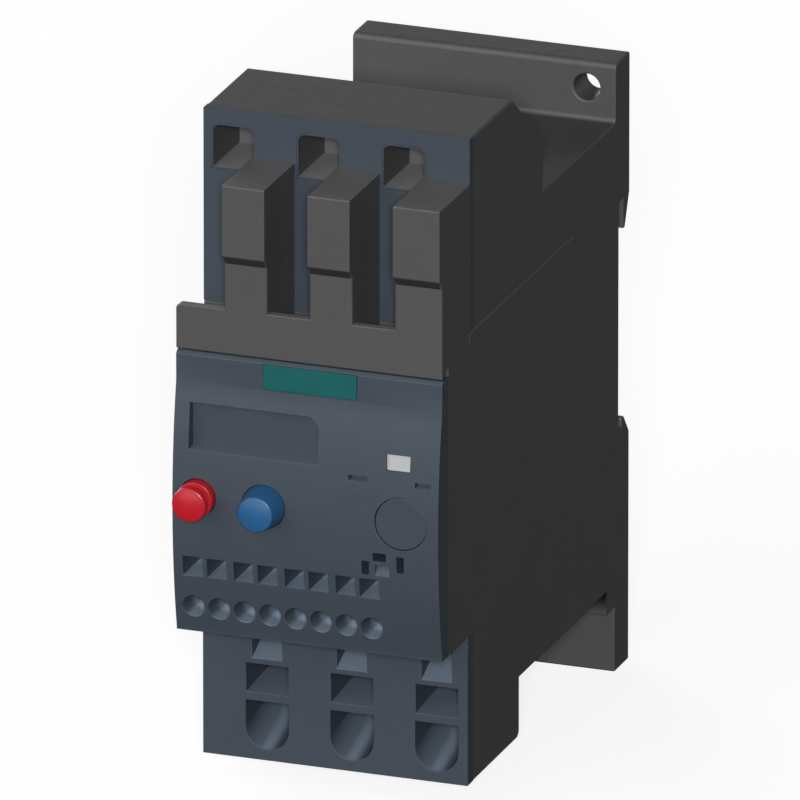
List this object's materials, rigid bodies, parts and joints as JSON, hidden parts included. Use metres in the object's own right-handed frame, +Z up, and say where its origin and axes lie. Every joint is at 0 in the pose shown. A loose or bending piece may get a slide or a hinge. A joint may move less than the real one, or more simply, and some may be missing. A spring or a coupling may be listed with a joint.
{
  "type": "thermal overload relay",
  "caption": "Thermal overload relay on a stand-alone terminal support, with stop and reset buttons, setting dial, clamp terminals and a plate for rail or panel.",
  "frame": {"origin": "centre of the rear mounting plate's back face, midway between its two screw holes", "axes": "+Z up, +X to the right seen from the front, +Y to the rear, so the front is towards -Y"},
  "size_m": [0.045, 0.0951, 0.1142],
  "materials": {
    "dark_case": "fine matt moulding",
    "blue_grey_case": "fine matt moulding",
    "name_tile": "satin, bare",
    "stop_red": "satin gloss",
    "reset_blue": "satin gloss",
    "indicator_white": "satin",
    "inner_plastic": "natural",
    "copper": "bare",
    "spring_steel": "bare",
    "bimetal": "bare"
  },
  "bodies": {
    "root": {"aux_clamps": "spring_steel", "bimetals": "bimetal", "connection_pins": "copper", "fixed_contacts": "copper", "front_cover": "blue_grey_case", "heaters": "bimetal", "lever_pin": "spring_steel", "load_busbars": "copper", "lower_clamps": "spring_steel", "lower_front": "blue_grey_case", "mechanism_plate": "inner_plastic", "mechanism_screws": "spring_steel", "name_tile": "name_tile", "pin_shroud": "dark_case", "rail_springs": "spring_steel", "relay_housing": "dark_case", "reset_spring": "spring_steel", "stop_spring": "spring_steel", "supply_busbars": "copper", "support_base": "dark_case", "support_front": "blue_grey_case", "upper_busbars": "copper", "upper_clamps": "spring_steel"},
    "stop_button": {"stop_button": "stop_red"},
    "reset_plunger": {"reset_plunger": "inner_plastic"},
    "reset_button": {"reset_button": "reset_blue"},
    "setting_dial": {"setting_dial": "blue_grey_case", "dial_cam": "inner_plastic"},
    "test_slide": {"test_slide": "indicator_white"},
    "rail_pusher": {"rail_pusher": "spring_steel"},
    "trip_slide": {"trip_slide": "inner_plastic"},
    "return_slide": {"return_slide": "inner_plastic"},
    "trip_lever": {"trip_lever": "inner_plastic", "compensation_strip": "bimetal"},
    "contact_carriage": {"contact_carriage": "inner_plastic", "moving_contacts": "copper"}
  },
  "joints": [
    {"name": "stop_press", "type": "slide", "parent": "root", "child": "stop_button", "axis": [0, 1, 0], "range_m": [0, 0.0025], "stiffness_N_per_m": 300, "springref_m": -0.001, "deforming": ["stop_spring"]},
    {"name": "reset_press", "type": "slide", "parent": "root", "child": "reset_plunger", "axis": [0, 1, 0], "range_m": [0, 0.0025], "stiffness_N_per_m": 300, "springref_m": -0.001, "deforming": ["reset_spring"]},
    {"name": "reset_turn", "type": "hinge", "parent": "reset_plunger", "child": "reset_button", "pos_m": [-0.0071, -0.09, 0.0015], "axis": [0, 1, 0], "range_deg": [0, 90]},
    {"name": "dial_turn", "type": "hinge", "parent": "root", "child": "setting_dial", "pos_m": [0.01615, -0.09, 0.00145], "axis": [0, 1, 0], "range_deg": [-120, 120]},
    {"name": "test_move", "type": "slide", "parent": "root", "child": "test_slide", "axis": [1, 0, 0], "range_m": [0, 0.0012]},
    {"name": "rail_press", "type": "slide", "parent": "root", "child": "rail_pusher", "axis": [0, 0, 1], "range_m": [0, 0.0035], "stiffness_N_per_m": 800, "springref_m": -0.001, "deforming": ["rail_springs"]},
    {"name": "trip_move", "type": "slide", "parent": "root", "child": "trip_slide", "axis": [1, 0, 0], "range_m": [0, 0.0015], "stiffness_N_per_m": 200, "springref_m": -0.0005},
    {"name": "return_move", "type": "slide", "parent": "root", "child": "return_slide", "axis": [1, 0, 0], "range_m": [0, 0.0015]},
    {"name": "lever_turn", "type": "hinge", "parent": "root", "child": "trip_lever", "pos_m": [0.016, -0.058, 0.015], "axis": [0, 0, -1], "range_deg": [0, 10.75]},
    {"name": "contact_move", "type": "slide", "parent": "root", "child": "contact_carriage", "axis": [-1, 0, 0], "range_m": [0, 0.0015]}
  ],
  "couplings": [
    {"joint": "return_move", "follows": "trip_move", "ratio": 1},
    {"joint": "lever_turn", "follows": "trip_move", "rad_per_m": 125},
    {"joint": "contact_move", "follows": "trip_move", "ratio": 1}
  ]
}
